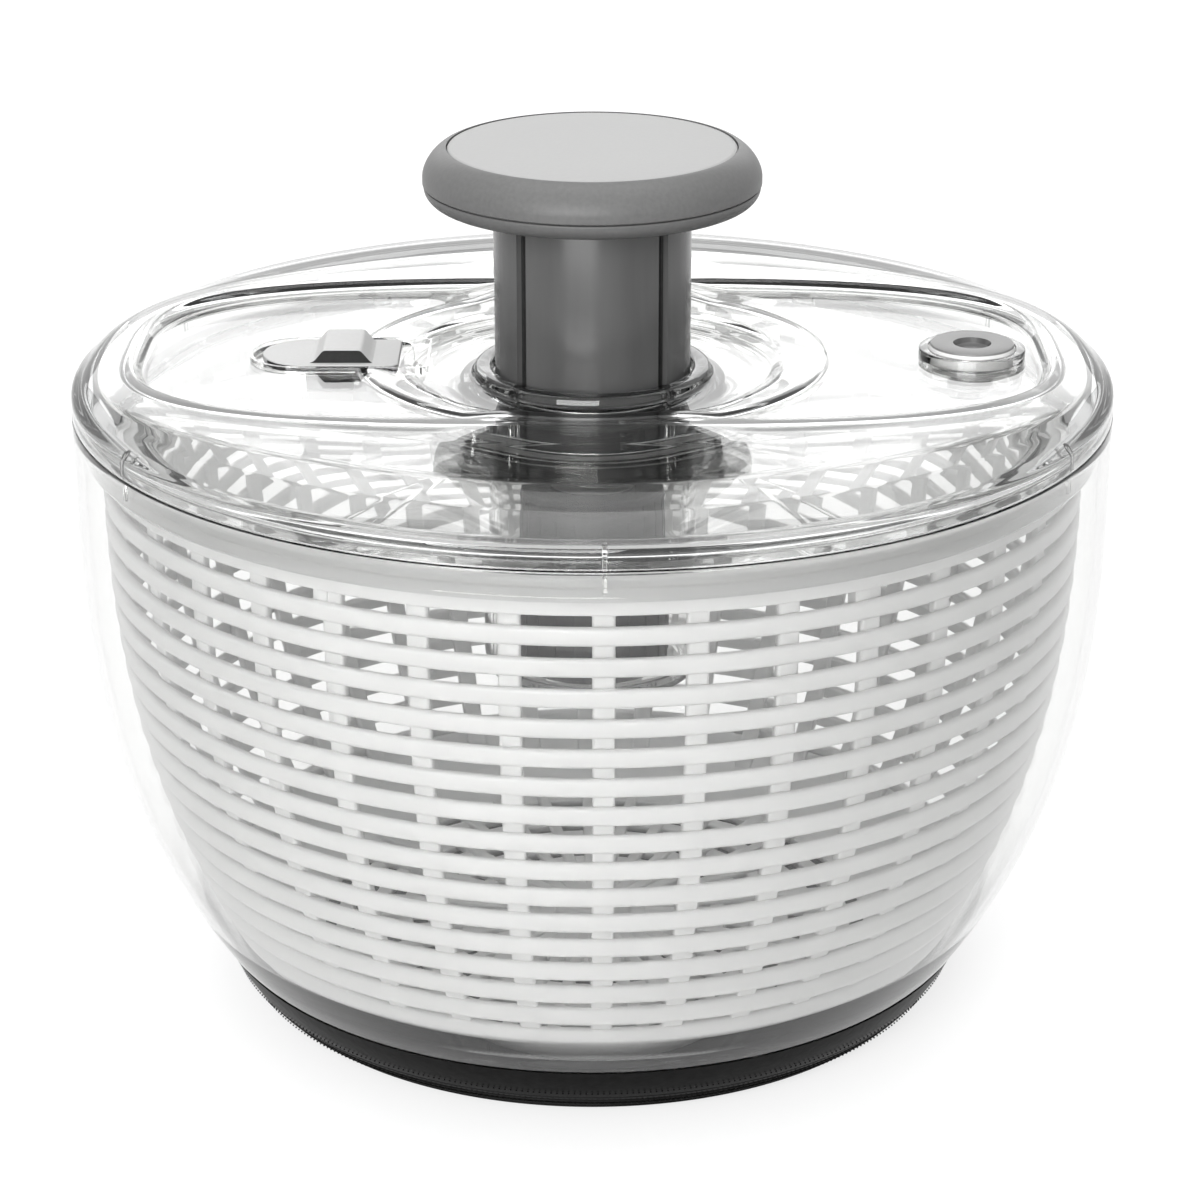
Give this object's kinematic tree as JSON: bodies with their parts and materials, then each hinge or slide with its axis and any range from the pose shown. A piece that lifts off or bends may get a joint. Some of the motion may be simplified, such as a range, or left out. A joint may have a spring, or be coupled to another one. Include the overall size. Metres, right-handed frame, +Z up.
{
  "type": "salad spinner",
  "caption": "Pump-action salad spinner: clear bowl and lid, slotted basket on a pivot, press knob with spiral drive, brake button and knob lock.",
  "frame": {"origin": "centre of the flat resting face under the non-slip base, at the bottom of the bounding box", "axes": "+Z up along the spin axis; +X towards the brake button, -X towards the knob lock slider; -Y is the front"},
  "size_m": [0.2612, 0.2612, 0.2207],
  "materials": {
    "clear_plastic": "polished clear moulded plastic",
    "base_rubber": "near-black rubber, satin, fine ridges",
    "basket_white": "white moulded plastic, soft satin",
    "dark_plastic": "dark grey moulded plastic",
    "column_grey": "dark grey moulded plastic, satin gloss",
    "rim_grey": "mid grey moulded plastic, satin",
    "cap_grey": "light grey soft-touch plastic",
    "nylon": "natural nylon",
    "steel": "bright stainless steel"
  },
  "bodies": {
    "bowl": {"bowl": "clear_plastic", "non_slip_base": "base_rubber"},
    "basket": {"basket": "basket_white"},
    "lid": {"lid_shell": "clear_plastic", "disc_retainer": "dark_plastic", "retainer_screw_1": "steel", "retainer_screw_2": "steel", "retainer_screw_3": "steel"},
    "drive_disc": {"drive_disc": "clear_plastic", "thrust_washer": "nylon", "clutch_ring": "dark_plastic", "clutch_cap": "dark_plastic", "spring_seat": "nylon", "clutch_roller_1": "steel", "clutch_roller_2": "steel", "clutch_roller_3": "steel", "clutch_screw_1": "steel", "clutch_screw_2": "steel", "clutch_screw_3": "steel"},
    "spindle": {"spiral_spindle": "steel", "clutch_hub": "steel"},
    "plunger": {"plunger_tube": "column_grey", "drive_nut": "nylon", "nut_screw_1": "steel", "nut_screw_2": "steel", "return_spring": "steel", "knob_base": "rim_grey", "knob_rim": "rim_grey", "knob_cap": "cap_grey", "knob_screw_1": "steel", "knob_screw_2": "steel", "knob_screw_3": "steel"},
    "brake_button": {"brake_button": "rim_grey", "brake_pad": "base_rubber", "button_spring": "steel"},
    "lock_slider": {"lock_slider": "cap_grey", "lock_tongue": "dark_plastic"}
  },
  "joints": [
    {"name": "basket_spin", "type": "hinge", "parent": "bowl", "child": "basket", "pos_m": [0, 0, 0.0085], "axis": [0, 0, 1], "continuous": true},
    {"name": "lid_lift", "type": "slide", "parent": "bowl", "child": "lid", "axis": [0, 0, 1], "range_m": [0, 0.25]},
    {"name": "disc_spin", "type": "hinge", "parent": "lid", "child": "drive_disc", "pos_m": [0, 0, 0.1481], "axis": [0, 0, 1], "continuous": true},
    {"name": "pump_press", "type": "slide", "parent": "lid", "child": "plunger", "axis": [0, 0, -1], "range_m": [0, 0.041], "stiffness_N_per_m": 350, "springref_m": -0.012, "deforming": ["return_spring"]},
    {"name": "spindle_turn", "type": "hinge", "parent": "lid", "child": "spindle", "pos_m": [0, 0, 0.0888], "axis": [0, 0, 1], "range_deg": [0, 492.1]},
    {"name": "brake_press", "type": "slide", "parent": "lid", "child": "brake_button", "axis": [0, 0, -1], "range_m": [0, 0.0025], "stiffness_N_per_m": 600, "springref_m": -0.001, "deforming": ["button_spring"]},
    {"name": "lock_slide", "type": "slide", "parent": "lid", "child": "lock_slider", "axis": [1, 0, 0], "range_m": [0, 0.007]}
  ],
  "couplings": [
    {"joint": "disc_spin", "follows": "basket_spin", "ratio": 1},
    {"joint": "spindle_turn", "follows": "pump_press", "rad_per_m": 209.44}
  ]
}
